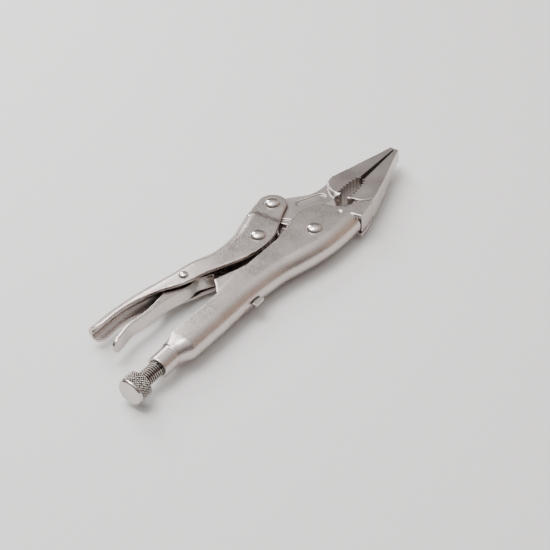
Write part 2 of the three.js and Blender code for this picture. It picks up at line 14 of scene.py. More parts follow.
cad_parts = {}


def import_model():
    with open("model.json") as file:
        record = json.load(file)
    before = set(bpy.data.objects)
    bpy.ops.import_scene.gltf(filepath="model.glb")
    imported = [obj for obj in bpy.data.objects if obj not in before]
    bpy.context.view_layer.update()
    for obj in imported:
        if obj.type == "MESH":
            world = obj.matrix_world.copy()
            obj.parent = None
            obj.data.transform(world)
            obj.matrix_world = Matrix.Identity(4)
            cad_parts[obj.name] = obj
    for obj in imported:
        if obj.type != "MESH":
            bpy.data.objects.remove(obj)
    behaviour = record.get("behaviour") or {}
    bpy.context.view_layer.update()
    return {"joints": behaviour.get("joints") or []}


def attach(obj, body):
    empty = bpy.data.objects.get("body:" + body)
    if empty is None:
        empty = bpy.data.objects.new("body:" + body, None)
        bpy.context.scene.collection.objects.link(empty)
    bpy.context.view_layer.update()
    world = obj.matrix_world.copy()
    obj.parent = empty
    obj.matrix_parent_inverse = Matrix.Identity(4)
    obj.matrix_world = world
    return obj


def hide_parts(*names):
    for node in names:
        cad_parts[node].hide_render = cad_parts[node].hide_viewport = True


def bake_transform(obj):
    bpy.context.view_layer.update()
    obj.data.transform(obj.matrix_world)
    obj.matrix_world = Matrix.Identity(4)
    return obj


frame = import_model()

MM = 0.001
JOINTS = {joint["name"]: joint for joint in frame["joints"]}
PIVOT = Vector(JOINTS["jaw_pivot"]["pos_m"])


def pivot_mm(name):
    """A joint's place in the tool's plane, in millimetres."""
    return (Vector(JOINTS[name]["pos_m"]) - PIVOT) / MM


# places
LINK_PIVOT = pivot_mm("handle_pivot")
TOGGLE_PIVOT = pivot_mm("toggle_pivot")
LEVER_PIVOT = pivot_mm("lever_pivot")
TOGGLE_SEAT = Vector((-62.0, 7.0, 0.0))
HOOK_HOLE = Vector((-6.8, 13.3))  # the spring's, in the movable jaw
ANCHOR = Vector((-55.3, 1.0))  # the spring's hole in its anchor
SLOT_HALF = 1.8  # half length of the anchor's slot

# sheet and widths

SHEET = 2.2
GAP = 0.3
BODY_HALF = 7.0
HANDLE_HALF = 7.5
HANDLE_TAIL_HALF = 5.6
EAR_HALF = 7.0
BODY_INNER = BODY_HALF - SHEET
HANDLE_INNER = HANDLE_HALF - SHEET
TANG_HALF = BODY_INNER - GAP
WING_OUTER = HANDLE_INNER - GAP - 0.1
WING_INNER = WING_OUTER - SHEET
LINK_HALF = WING_INNER - GAP
BOSS_R = 7.8
RIVET_BORE_R = 2.96
LEVER_BORE_R = 1.56
NOSE_HALF = 6.75
NOSE_START_X = 30.0
TIP_X = 85.4
TIP_THINNING = 0.42

SCREW_Y = 7.0
KNOB_END_X = -138.85
KNOB_R = 7.1
KNOB_LENGTH = 8.7
THREAD_R = 3.98
THREAD_PITCH = 1.25
THREAD_DEPTH = 0.85
THREAD_LENGTH = 26.0
SHANK_R = 3.1
SCREW_TIP_X = TOGGLE_SEAT.x - 4.0 - 3.7
NECK_R = 5.65
NECK_BORE_R = 4.25
NECK_START_X = -118.75
SHOULDER_X = -108.0
CHANNEL_START_X = -101.0
CHEEK_TOP_Y = 11.8
WEB_END_X = 21.6
STAKE_DEPTH = 0.55

TEETH_BREAK_X = 50.4
COARSE_PITCH = 2.6
COARSE_TEETH = 7
COARSE_END_X = TEETH_BREAK_X - COARSE_TEETH * COARSE_PITCH
FINE_PITCH = 1.3
FINE_COUNT = round((TIP_X - 2 - TEETH_BREAK_X) / FINE_PITCH)


# ---------- outlines ----------

def spline(points, steps=8):
    """Catmull-Rom curve through points, each an (x, y) pair."""
    places = [Vector(p) for p in points]
    curve = [places[0]]
    for i in range(len(places) - 1):
        before = places[max(i - 1, 0)]
        start, end = places[i], places[i + 1]
        after = places[min(i + 2, len(places) - 1)]
        for k in range(1, steps + 1):
            t = k / steps
            bend = (2 * start + (end - before) * t
                    + (2 * before - 5 * start + 4 * end - after) * t ** 2
                    + (3 * start - before - 3 * end + after) * t ** 3)
            curve.append(bend / 2)
    return curve


def arc(centre, radius, start, end, steps=24):
    """Points on a circle from one angle to another, in degrees."""
    points = []
    for k in range(steps + 1):
        angle = math.radians(start + (end - start) * k / steps)
        points.append(Vector((centre[0] + radius * math.cos(angle), centre[1] + radius * math.sin(angle))))
    return points


def path(*pieces):
    """One closed outline from single points and runs of points, without repeats."""
    outline = []
    for piece in pieces:
        run = piece if isinstance(piece, list) else [Vector(piece)]
        for point in run:
            if not outline or (point - outline[-1]).length > 1e-4:
                outline.append(point)
    if (outline[0] - outline[-1]).length < 1e-4:
        outline.pop()
    return outline


# ---------- solids ----------

def make(name, mesh):
    piece = bpy.data.objects.new(name, mesh)
    bpy.context.scene.collection.objects.link(piece)
    return piece


def from_bmesh(name, work):
    bmesh.ops.recalc_face_normals(work, faces=work.faces)
    mesh = bpy.data.meshes.new(name)
    work.to_mesh(mesh)
    work.free()
    return make(name, mesh)


def plate(outline, low, high):
    """A flat plate with the given outline."""
    work = bmesh.new()
    ring = [work.verts.new((p.x, p.y, low)) for p in outline]
    face = work.faces.new(ring)
    lifted = bmesh.ops.extrude_face_region(work, geom=[face])
    top = [v for v in lifted["geom"] if isinstance(v, bmesh.types.BMVert)]
    bmesh.ops.translate(work, verts=top, vec=(0, 0, high - low))
    bmesh.ops.triangulate(work, faces=[f for f in work.faces if len(f.verts) > 4])
    return from_bmesh("plate", work)


def plate_pair(outline, low, high):
    return join([plate(outline, low, high), plate(outline, -high, -low)])


def cross_bar(centre, radius, half, sides=64):
    return plate(arc(centre, radius, 0, 360, sides)[:-1], -half, half)


def rings_to_mesh(name, rings):
    """Skins a list of equal rings of 3-D points, with a flat face on each end."""
    work = bmesh.new()
    rows = [[work.verts.new(p) for p in ring] for ring in rings]
    count = len(rows[0])
    for near, far in zip(rows, rows[1:]):
        for j in range(count):
            k = (j + 1) % count
            work.faces.new((near[j], near[k], far[k], far[j]))
    ends = [work.faces.new(rows[0]), work.faces.new(list(reversed(rows[-1])))]
    bmesh.ops.triangulate(work, faces=ends)
    return from_bmesh(name, work)


def turned(profile, sides=96):
    """A solid turned about the screw's axis from [x, radius] pairs that start and end on it."""
    work = bmesh.new()
    rows = []
    for x, radius in profile:
        if radius < 1e-6:
            rows.append([work.verts.new((x, SCREW_Y, 0))])
            continue
        row = []
        for k in range(sides):
            angle = 2 * math.pi * k / sides
            row.append(work.verts.new((x, SCREW_Y + radius * math.cos(angle), radius * math.sin(angle))))
        rows.append(row)
    for near, far in zip(rows, rows[1:]):
        for k in range(sides):
            a, b = near[k % len(near)], near[(k + 1) % len(near)]
            c, d = far[(k + 1) % len(far)], far[k % len(far)]
            corners = list(dict.fromkeys((a, b, c, d)))
            work.faces.new(corners)
    return from_bmesh("turned", work)


def d_section(half, height, steps=28):
    """(across, up) points of a section with a half-round bottom and straight sides."""
    points = [(half, height), (-half, height)]
    for k in range(steps + 1):
        angle = math.pi + math.pi * k / steps
        points.append((half * math.cos(angle), half * math.sin(angle)))
    return points


def spine_bar(line, half, height, side, width=None, steps=10):
    """A D-shaped bar along a line; side is +1 where its round side faces -Y. width narrows it."""
    centre = spline(line, steps)
    rings = []
    for i, place in enumerate(centre):
        before = centre[max(i - 1, 0)]
        after = centre[min(i + 1, len(centre) - 1)]
        along = (after - before).normalized()
        up = Vector((-along.y, along.x)) * side
        ring = []
        for across, lift in d_section(half, height):
            x, y = place + (Vector((0, side * lift)) if lift > 0 else up * lift)
            share = width(x) if width else 1.0
            ring.append(Vector((x, y, across * share)))
        rings.append(ring)
    return rings_to_mesh("bar", rings)


def combine(base, other, operation):
    step = base.modifiers.new("combine", "BOOLEAN")
    step.operation = operation
    step.solver = "EXACT"
    step.object = other
    apply_modifiers(base)
    bpy.data.objects.remove(other)
    return base


def cut(base, *others):
    for other in others:
        combine(base, other, "DIFFERENCE")
    return base


def add(base, *others):
    for other in others:
        combine(base, other, "UNION")
    return base


def keep(base, other):
    return combine(base, other, "INTERSECT")


def join(pieces):
    """One object from several that don't touch."""
    work = bmesh.new()
    for piece in pieces:
        work.from_mesh(piece.data)
        bpy.data.objects.remove(piece)
    return from_bmesh("joined", work)


def apply_modifiers(piece):
    graph = bpy.context.evaluated_depsgraph_get()
    graph.update()
    mesh = bpy.data.meshes.new_from_object(piece.evaluated_get(graph))
    piece.modifiers.clear()
    piece.data = mesh
    return piece


def soften(piece, voxel, passes, keep_share):
    """Rounds every edge: an even fine skin is relaxed, then thinned out where it is flat."""
    skin = piece.modifiers.new("skin", "REMESH")
    skin.mode = "VOXEL"
    skin.voxel_size = voxel
    relax = piece.modifiers.new("relax", "SMOOTH")
    relax.factor = 0.5
    relax.iterations = passes
    if keep_share < 1:
        thin = piece.modifiers.new("thin", "DECIMATE")
        thin.ratio = keep_share
    return apply_modifiers(piece)


def finished(piece, name, material):
    """Scales a piece to metres, moves it into the frame and gives it its name and finish."""
    piece.data.transform(Matrix.Translation(PIVOT) @ Matrix.Scale(MM, 4))
    piece.name = name
    piece.data.name = name
    piece.data.materials.clear()
    piece.data.materials.append(material)
    for face in piece.data.polygons:
        face.use_smooth = True
    return piece


def place(piece, name, body, slot, material, *nodes, crease=40):
    """Finishes a piece and ties it to its body."""
    finished(piece, name, material)
    piece.data.set_sharp_from_angle(angle=math.radians(crease))
    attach(piece, body)
    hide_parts(*nodes)
    return piece


# ---------- materials ----------

def metal(name, tint, roughness, grain, depth, patchiness, sparkle=0.0):
    """Plated steel. grain is the size of its texture in millimetres and depth the bump's height."""
    material = bpy.data.materials.new(name)
    material.use_nodes = True
    tree = material.node_tree
    nodes, links = tree.nodes, tree.links
    shader = nodes["Principled BSDF"]
    shader.inputs["Metallic"].default_value = 1.0
    coords = nodes.new("ShaderNodeTexCoord")

    def noise_node(size_mm, detail, rough=0.55):
        node = nodes.new("ShaderNodeTexNoise")
        node.inputs["Scale"].default_value = 1 / (size_mm * MM)
        node.inputs["Detail"].default_value = detail
        node.inputs["Roughness"].default_value = rough
        links.new(coords.outputs["Object"], node.inputs["Vector"])
        return node

    def ramp(source, low, high, first, last):
        node = nodes.new("ShaderNodeMapRange")
        node.inputs["From Min"].default_value = low
        node.inputs["From Max"].default_value = high
        node.inputs["To Min"].default_value = first
        node.inputs["To Max"].default_value = last
        links.new(source, node.inputs["Value"])
        return node.outputs["Result"]

    patches = noise_node(14, 3)
    fine = noise_node(grain, 4, 0.7)
    shade = nodes.new("ShaderNodeMix")
    shade.data_type = "RGBA"
    dark = [c * (1 - patchiness) for c in tint]
    light = [min(1.0, c * (1 + patchiness * 0.6)) for c in tint]
    shade.inputs["A"].default_value = (*dark, 1)
    shade.inputs["B"].default_value = (*light, 1)
    # Painted shade in crevices, recesses and between parts: where ambient occlusion is low, the base
    # colour is mixed towards a dark tint.
    crevice_occlusion = nodes.new("ShaderNodeAmbientOcclusion")
    crevice_occlusion.inputs["Distance"].default_value = 1.6 * MM
    crevice_occlusion.samples = 8
    painted_crevice_shade = nodes.new("ShaderNodeMix")
    painted_crevice_shade.data_type = "RGBA"
    painted_crevice_shade.inputs["A"].default_value = (*[c * 0.22 for c in tint], 1)
    links.new(ramp(crevice_occlusion.outputs["AO"], 0.35, 0.95, 0.0, 1.0), painted_crevice_shade.inputs["Factor"])
    blend = nodes.new("ShaderNodeMath")
    blend.operation = "MULTIPLY_ADD"
    blend.inputs[1].default_value = 0.45
    links.new(fine.outputs["Fac"], blend.inputs[0])
    links.new(ramp(patches.outputs["Fac"], 0.3, 0.7, 0.0, 0.55), blend.inputs[2])
    links.new(blend.outputs["Value"], shade.inputs["Factor"])
    links.new(shade.outputs["Result"], painted_crevice_shade.inputs["B"])
    links.new(painted_crevice_shade.outputs["Result"], shader.inputs["Base Color"])

    rough = nodes.new("ShaderNodeMath")
    rough.operation = "ADD"
    links.new(ramp(patches.outputs["Fac"], 0.3, 0.7, roughness * 0.85, roughness * 1.1), rough.inputs[0])
    links.new(ramp(fine.outputs["Fac"], 0.3, 0.7, -0.04 - sparkle, 0.05), rough.inputs[1])
    links.new(rough.outputs["Value"], shader.inputs["Roughness"])

    bump = nodes.new("ShaderNodeBump")
    bump.inputs["Distance"].default_value = depth * MM
    bump.inputs["Strength"].default_value = 1.0
    links.new(fine.outputs["Fac"], bump.inputs["Height"])
    links.new(bump.outputs["Normal"], shader.inputs["Normal"])
    return material


satin = metal("satin_nickel", (0.60, 0.535, 0.505), 0.33, 0.6, 0.05, 0.13, 0.05)
forged = metal("forged_nickel", (0.58, 0.52, 0.49), 0.36, 0.7, 0.05, 0.12, 0.04)
bright = metal("bright_nickel", (0.70, 0.655, 0.625), 0.16, 1.2, 0.01, 0.08)
lever_bright = metal("lever_nickel", (0.62, 0.56, 0.52), 0.18, 2.2, 0.04, 0.10)
thread_steel = metal("knurled_steel", (0.60, 0.55, 0.51), 0.20, 0.6, 0.012, 0.14)
wire_steel = metal("spring_wire", (0.52, 0.49, 0.47), 0.24, 0.6, 0.01, 0.10)


# ---------- fixed handle ----------

BODY_SPINE = [
    (CHANNEL_START_X, 4.8), (-80, 4.2), (-60, 4), (-45, 3), (-30, 0.8),
    (-20, -2), (-10, -4.7), (0, -6.5), (10, -7.2), (WEB_END_X, -7.3),
]
HOLLOW_SPINE = [*BODY_SPINE, (WEB_END_X + 2.4, -7.3)]


def cheek_outline():
    start = CHANNEL_START_X - 5
    return path(
        (start, -20), (WEB_END_X - 0.8, -20),
        spline([(WEB_END_X, -15), (30, -13.8), (36.8, -11.6)]),
        spline([(36.8, -11.6), (33.2, -9), (31.2, -6.6), (29.5, -5.2)]),
        spline([(29.5, -5.2), (26, -3.9), (23.6, -2.2), (22.6, 0)]),
        spline([(22.6, 0), (21.2, 2), (20.6, 5), (18.6, 9), (14.5, 12.4), (9, 14.3), (4, 14.8)]),
        spline([(4, 14.8), (-2, 14.2), (-8, 12.2), (-14, 11.2), (-22, 11.2)]),
        (-46, 12), (-60, 11.6),
        spline([(-68, 10.9), (-85, 11.2), (start, CHEEK_TOP_Y)]),
    )


def wing_outline():
    return path(
        spline([(-68, 10), (-65.4, 12.6), (-61, 16.4), (-57.8, 20)]),
        spline([(-57.8, 20), (-54, 18.6), (-46, 15.6), (-38, 12.6), (-34, 10)]),
    )


def wing_root():
    """The joggle that carries each wing inwards from its cheek, as a slanted strip."""
    pieces = []
    for side in (1, -1):
        rings = []
        for x, top in ((-67.6, 10.6), (-60, 11.6), (-46, 12), (-34.5, 11)):
            levels = (
                (top - 2.4, BODY_HALF - 0.1), (top, BODY_HALF - 0.1), (top + 1.6, WING_OUTER),
                (top + 1.6, WING_INNER), (top - 2.4, WING_INNER),
            )
            rings.append([Vector((x, y, z * side)) for y, z in levels])
        pieces.append(rings_to_mesh("root", rings))
    return join(pieces)


def channel_reach(direction):
    """Distance from the screw's axis to the channel's closed section along a direction (y, z)."""
    half = BODY_HALF - 0.02
    spine = BODY_SPINE[0][1] - SCREW_Y
    top = CHEEK_TOP_Y - 0.02 - SCREW_Y
    low, high = 0.0, 30.0
    for _ in range(30):
        middle = (low + high) / 2
        y, z = direction * middle
        outside = y > top or abs(z) > half or (y < spine and math.hypot(y - spine, z) > half)
        low, high = (low, middle) if outside else (middle, high)
    return low


def shoulder():
    """The bell-shaped flare between the neck's circle and the channel's section."""
    steps = 16
    sides = 96
    ends = []
    for k in range(sides):
        angle = 2 * math.pi * k / sides
        direction = Vector((math.cos(angle), math.sin(angle)))
        ends.append((direction, channel_reach(direction)))
    rings = []
    for i in range(steps + 1):
        t = i / steps
        share = t * t * (3 - 2 * t)
        x = SHOULDER_X + (CHANNEL_START_X + 0.4 - SHOULDER_X) * t
        ring = []
        for direction, reach in ends:
            y, z = direction * (NECK_R + 0.55 + (reach - NECK_R - 0.55) * share)
            ring.append(Vector((x, SCREW_Y + y, z)))
        rings.append(ring)
    return rings_to_mesh("shoulder", rings)


def stake_marks():
    """A shallow round punch mark in each cheek, above the fixed jaw's tang."""
    middle = BODY_HALF - STAKE_DEPTH
    inside = plate(path((15, -6), (22, -6), (22, 0), (15, 0)), -middle, middle)
    return cut(cross_bar((18.7, -3.2), 1.1, 9, 24), inside)


def fixed_handle():
    shell = keep(spine_bar(BODY_SPINE, BODY_HALF, 30, 1), plate(cheek_outline(), -9, 9))
    add(shell, shoulder())
    cut(shell, spine_bar(HOLLOW_SPINE, BODY_INNER, 32, 1))
    neck = turned([
        (NECK_START_X, 0), (NECK_START_X, NECK_R), (SHOULDER_X + 1, NECK_R), (SHOULDER_X + 1, 0),
    ])
    front = path((20.9, -12), (WEB_END_X, -15.5), (50, -15.5), (50, 20), (20.9, 20))
    flanges = keep(plate_pair(cheek_outline(), BODY_INNER, BODY_HALF), plate(front, -9, 9))
    add(shell, neck, flanges, plate_pair(wing_outline(), WING_INNER, WING_OUTER), wing_root())
    bore = turned([
        (NECK_START_X - 1, 0), (NECK_START_X - 1, NECK_BORE_R),
        (CHANNEL_START_X + 3, NECK_BORE_R), (CHANNEL_START_X + 3, 0),
    ])
    slot = path(
        (ANCHOR.x - SLOT_HALF, -8), (ANCHOR.x + SLOT_HALF, -8), (ANCHOR.x + SLOT_HALF, 2),
        (ANCHOR.x - SLOT_HALF, 2),
    )
    cut(shell, bore, plate(slot, -0.9, 0.9), stake_marks(), cross_bar((0, 0), RIVET_BORE_R, 10))
    return soften(shell, 0.32, 4, 0.35)


# ---------- jaws ----------

def thinned(piece):
    """Thins a nose evenly towards its tip."""
    for vertex in piece.data.vertices:
        along = (vertex.co.x - NOSE_START_X) / (TIP_X - NOSE_START_X)
        vertex.co.z *= 1 - TIP_THINNING * along
    return piece


def between(value, stops):
    """Reads a value off (place, amount) stops, straight between them and level beyond."""
    if value <= stops[0][0]:
        return stops[0][1]
    for (low, first), (high, last) in zip(stops, stops[1:]):
        if value <= high:
            return first + (last - first) * (value - low) / (high - low)
    return stops[-1][1]


def movable_slope(point):
    """How far the movable nose's rear edge leans back where it meets the tang."""
    return between(point.y, [(7, 3.0), (11, 1.6), (14, 0.8), (17, 0)]) if point.x < 41 else 0.0


def fixed_slope(point):
    """The same for the fixed nose."""
    return between(point.y, [(-11.6, 1.0), (-9, 1.6), (-6, 1.8), (-3, 0)]) if point.x < 38.5 else 0.0


def sloped_plate(outline, slope):
    """A nose whose rear edge slopes from its own faces down to the thinner tang's."""
    root = TANG_HALF - 0.1
    leant = [point - Vector((slope(point), 0)) for point in outline]
    rings = []
    for z, ring in ((-NOSE_HALF, outline), (-root, leant), (root, leant), (NOSE_HALF, outline)):
        rings.append([Vector((p.x, p.y, z)) for p in ring])
    return rings_to_mesh("nose", rings)


def fine_saw(start, end, depth, outward):
    """Points of the fine teeth from start to end."""
    step = (Vector(end) - Vector(start)) / FINE_COUNT
    points = []
    for i in range(FINE_COUNT):
        points.append(Vector(start) + step * (i + 0.5))
        points.append(Vector(start) + step * (i + 1) + Vector((0, outward * depth)))
    return points


def coarse_saw(start, end, sag, depth, outward):
    """Points of the coarse teeth, round a shallow hollow between start and end."""
    points = []
    for i in range(COARSE_TEETH):
        for share, lift in ((0.35, 0), (0.55, 0), (1.0, depth)):
            t = (i + share) / COARSE_TEETH
            base = Vector(start).lerp(Vector(end), t)
            points.append(base + Vector((0, outward * (lift - sag * 4 * t * (1 - t)))))
    return points


def tooth_cutter(points, away):
    """Everything between a row of teeth and a line far to one side of it."""
    first, last = points[0], points[-1]
    return plate(path(points, (last.x, away), (first.x, away)), -9, 9)


MOVABLE_COARSE = coarse_saw((COARSE_END_X, 7.6), (TEETH_BREAK_X, 6.6), 0.9, 1.4, -1)
MOVABLE_FINE = fine_saw((TEETH_BREAK_X, 5.9), (TIP_X - 1.8, 5.75), 0.55, -1)
FIXED_FINE = fine_saw((TIP_X - 1.8, 4.3), (TEETH_BREAK_X, 2.1), 0.55, 1)
FIXED_COARSE = coarse_saw((TEETH_BREAK_X, 1.3), (COARSE_END_X, -1.3), 0.6, 1.4, 1)


def movable_nose():
    outline = path(
        (TIP_X, 5.0), (TIP_X, 7.8),
        spline([(TIP_X, 7.8), (83.8, 8.4), (75, 10.3), (65, 12.9), (56, 14.9), (48, 17.1), (43, 18.3)]),
        spline([(43, 18.3), (40.5, 18), (37.6, 17.2)]),
        spline([(37.6, 17.2), (34.3, 14.2), (32.3, 10.6), (31.9, 6.9)]),
        (COARSE_END_X, 5.4), (50.0, 4.6),
    )
    return thinned(sloped_plate(outline, movable_slope))


def movable_tang():
    ear = arc(LINK_PIVOT, 7.4, 0, 180, 36)
    boss = arc((0, 0), BOSS_R, 180 * 0.86, 180 * 1.85, 36)
    outline = path(
        (36, 7.6), (41, 17.4), (40, 18.1),
        spline([(40, 18.1), (36, 18.2), (32, 18.4), (28, 19.3), (24.5, 21.1), (21, 24.3)]),
        spline([(21, 24.3), (17.5, 27.8), (13.4, 31.5)]),
        ear,
        spline([ear[-1], (-2.6, 26), (-4.6, 21), (-7.6, 17.2), (-9.4, 14.6)]),
        spline([(-9.4, 14.6), (-9.9, 12.2), (-9.4, 8)]),
        boss,
        spline([boss[-1], (13.5, -1.2), (21.8, 0.3)]),
        spline([(21.8, 0.3), (24.2, 2.2), (27, 4.6), (30, 6.2), (33, 6.9)]),
    )
    return plate(outline, -TANG_HALF, TANG_HALF)


def flank_cutters(*corners):
    """Cutters that bevel both faces of a wire cutter; each corner is (x, y, depth of the bevel there)."""
    top = TANG_HALF + 2
    bevels = []
    for side in (1, -1):
        low = [Vector((x, y, side * z)) for x, y, z in corners]
        high = [Vector((x, y, side * top)) for x, y, _z in corners]
        bevels.append(rings_to_mesh("bevel", [low, high]))
    return join(bevels)


def pressed_panel():
    """A shallow panel with round ends in both faces of the movable jaw."""
    outline = arc((-6, 0), 2.6, 90, 270) + arc((6, 0), 2.6, -90, 90)
    turn = Matrix.Translation((21.6, 17, 0)) @ Matrix.Rotation(-0.49, 4, "Z")
    panels = []
    for low in (TANG_HALF - 0.9, -TANG_HALF - 1):
        panel = plate(path(outline), low, low + 1.9)
        panel.data.transform(turn)
        panels.append(panel)
    return join(panels)


def movable_jaw():
    recess = path((-14, 5), (-2.4, 11), (-1.7, 13.6), (-3.0, 18.9), (-4, 30), (-14, 30))
    groove = path((-0.56, 20.2), (0.56, 20.6), (2.86, 14.6), (1.74, 14.2))
    tang = cut(movable_tang(), plate_pair(recess, 1.6, 9), plate_pair(groove, TANG_HALF - 0.9, 9))
    jaw = add(tang, movable_nose())
    cut(
        jaw, pressed_panel(), cross_bar(HOOK_HOLE, 1.6, 6, 32),
        flank_cutters((21.4, -0.6, 2.0), (31.4, 5.8, 2.4), (29.2, 7.9, 4.6), (20, 8.9, 4.6)),
    )
    soften(jaw, 0.24, 5, 0.35)
    return cut(
        jaw, tooth_cutter(MOVABLE_COARSE, 0.5), tooth_cutter(MOVABLE_FINE, 0.5),
        cross_bar((0, 0), RIVET_BORE_R, 10), cross_bar(LINK_PIVOT, RIVET_BORE_R, 10),
    )


def fixed_nose():
    outline = path(
        spline([(38.4, -11.6), (44, -10.2), (50, -8.4), (58, -6.1), (70, -2), (84, 2.5)]),
        (TIP_X, 2.5), (TIP_X, 5.2), (TEETH_BREAK_X, 3.4), (COARSE_END_X - 1, 0.6),
        spline([(COARSE_END_X - 1, -0.9), (32.2, -2.4), (33, -6), (35.3, -9.2), (38.4, -11.6)]),
    )
    return thinned(sloped_plate(outline, fixed_slope))


def fixed_jaw():
    free_x = WEB_END_X + GAP
    outline = path(
        (8.5, -13), (WEB_END_X + 0.6, -13),
        spline([(WEB_END_X + 0.8, -14.6), (30, -13.5), (38, -11.4)]),
        (40, -8), (36, -2.6), (32, -2.6),
        spline([(32, -2.6), (29.5, -4.2), (26.5, -3.6), (23.6, -1.6), (22, -0.2)]),
        (8.5, -0.2),
    )
    room = spine_bar(HOLLOW_SPINE, TANG_HALF, 34, 1)
    add(room, plate(path((free_x, -30), (60, -30), (60, 20), (free_x, 20)), -TANG_HALF, TANG_HALF))
    jaw = keep(plate(outline, -TANG_HALF, TANG_HALF), room)
    swing = path((6, -5.2), (10, -3.8), (14, -2.1), (18, -1.3), (22.8, -0.3), (23, 3), (6, 6))
    cut(jaw, cross_bar((0, 0), BOSS_R + GAP, 12), plate(swing, -10, 10))
    cut(jaw, flank_cutters((23.0, -0.8, 2.2), (31.6, -2.2, 2.2), (30.6, -5.6, 4.7), (25.3, -4.6, 4.7)))
    add(jaw, fixed_nose())
    soften(jaw, 0.24, 5, 0.35)
    return cut(jaw, tooth_cutter(FIXED_COARSE, 6.6), tooth_cutter(FIXED_FINE, 6.6))


# ---------- movable handle ----------

HANDLE_SPINE = [
    (-117.4, 43.8), (-105, 43.6), (-95, 42.6), (-85, 40.5), (-75, 37.7), (-65, 35), (-55, 32.8),
    (-45, 28.7), (-36, 27.2), (-28, 27.2), (-22, 27.9), (-15, 29.8), (-8, 31.7), (-3, 32.9),
]


def handle_outline():
    return path(
        spline([(-117.3, 60), (-117.2, 48.6), (-115.8, 46), (-113, 44.7)]),
        spline([
            (-113, 44.7), (-108, 44.6), (-104, 44.6), (-95, 43.2), (-88, 40.8), (-80, 37), (-75, 33.6),
        ]),
        spline([
            (-75, 33.6), (-70, 30.2), (-65, 28), (-60, 26.4), (-55, 24.3), (-45, 19.4), (-38, 16.3),
        ]),
        spline([(-38, 16.3), (-31, 14), (-25, 13.1), (-20, 13.2), (-14, 14.2), (-7, 17), (-3.4, 18.7)]),
        (-3.4, 60),
    )


def ear_outline():
    head = arc(LINK_PIVOT, 7.8, -180 * 0.36, 180 * 0.6, 32)
    return path(
        (-9, 36.2), (-9, 16.4),
        spline([(-9, 16.4), (-4, 18.6), (2, 21.2), (7.5, 23.2), head[0]]),
        head,
    )


def handle_width(x):
    """Share of full width along the movable handle: narrower at its tail and, a little, at its ears."""
    t = min(1.0, max(0.0, (-x - 50) / 50))
    t = t * t * (3 - 2 * t)
    tail_share = 1 + (HANDLE_TAIL_HALF / HANDLE_HALF - 1) * t
    front = min(1.0, max(0.0, (x + 6.6) / 2.8))
    return tail_share * (1 + (EAR_HALF / HANDLE_HALF - 1) * front)


def movable_handle():
    shell = spine_bar(HANDLE_SPINE, HANDLE_HALF, 34, -1, handle_width)
    keep(shell, plate(handle_outline(), -9, 9))
    cut(shell, spine_bar(HANDLE_SPINE, HANDLE_INNER, 36, -1, handle_width))
    add(shell, plate_pair(ear_outline(), EAR_HALF - SHEET, EAR_HALF))
    for centre, radius in (
        (LINK_PIVOT, RIVET_BORE_R), (TOGGLE_PIVOT, RIVET_BORE_R), (LEVER_PIVOT, LEVER_BORE_R),
    ):
        cut(shell, cross_bar(centre, radius, 10))
    return soften(shell, 0.32, 4, 0.35)


# ---------- toggle link and release lever ----------

def toggle_link():
    seat = arc(TOGGLE_SEAT, 4, -90, -252, 24)
    boss = arc(TOGGLE_PIVOT, 5, 144, -90, 32)
    outline = path(
        spline([(-20.5, 15.6), (-30, 13), (-45, 7.6), (-56, 4), seat[0]]),
        seat,
        spline([seat[-1], (-60, 12.5), (-57.5, 16.6), (-54, 20.2), (-51, 20.6)]),
        spline([(-51, 20.6), (-47, 18.4), (-40, 17.6), (-32, 20.6), boss[0]]),
        boss,
    )
    link = add(plate(outline, -LINK_HALF, LINK_HALF), cross_bar(TOGGLE_PIVOT, 5, HANDLE_INNER - GAP))
    cut(link, cross_bar(TOGGLE_PIVOT, RIVET_BORE_R, 10))
    return soften(link, 0.3, 4, 0.4)


LEVER_WEB = [
    (-53.5, 23.4), (-57, 25.6), (-62, 28.2), (-68, 28), (-73, 28.9),
    (-79, 30.8), (-86, 31.9), (-92, 32.1), (-97, 32.6),
]
LEVER_TAB = [(-101, 33.5), (-105, 34), (-109, 33.6), (-113, 32.8), (-117, 32.3), (-120, 32.2)]
LEVER_HALF = 4.0
LEVER_SHEET = 1.4


def release_lever():
    side = path(
        spline([*LEVER_WEB, *LEVER_TAB]),
        spline([(-120, 33.7), (-117, 33.8), (-113, 34.3), (-109, 35.1), (-105, 35.5), (-101, 35.1)]),
        spline([(-101, 35.1), (-94, 34.4), (-86, 34.6), (-78, 36), (-70, 37.4)]),
        spline([(-70, 37.4), (-65, 37.6), (-60.6, 34.6), (-56, 28.4), (-52.4, 25.2)]),
    )
    web = [(x, y + LEVER_SHEET) for x, y in LEVER_WEB[1:]]
    hollow = path(spline(web), (-97.5, 45), (-57, 45))
    spoon = plate(path(
        (-50, LEVER_HALF), (-114, LEVER_HALF), arc((-116.1, 0), LEVER_HALF, 90, 270, 24),
        (-114, -LEVER_HALF), (-50, -LEVER_HALF),
    ), 15, 50)
    spoon.data.transform(Matrix.Rotation(math.pi / 2, 4, "X"))
    spoon.data.transform(Matrix.Translation((0, 65, 0)))
    lever = plate(side, -LEVER_HALF, LEVER_HALF)
    cut(lever, plate(hollow, -LEVER_HALF + LEVER_SHEET, LEVER_HALF - LEVER_SHEET))
    keep(lever, spoon)
    cut(lever, cross_bar(LEVER_PIVOT, LEVER_BORE_R, 10))
    return soften(lever, 0.22, 5, 0.4)


# ---------- adjusting screw ----------

def knob_radius(x, angle):
    """Radius of the diamond-knurled grip."""
    starts = 30
    lead = 2 * math.pi * KNOB_R / starts
    turn = angle * starts / (2 * math.pi)
    rise = x / lead
    first = abs(((turn + rise) % 1) - 0.5) * 2
    second = abs(((turn - rise) % 1) - 0.5) * 2
    groove = max(0.0, 1 - min(first, second) / 0.55)
    return KNOB_R - 0.05 - 0.62 * groove


def thread_radius(x, angle):
    """Radius of the helical thread at a point along the screw."""
    phase = (x / THREAD_PITCH - angle / (2 * math.pi)) % 1
    rise = min(1.0, max(0.0, 1.35 - abs(phase - 0.5) * 4))
    return THREAD_R - THREAD_DEPTH * (1 - rise)


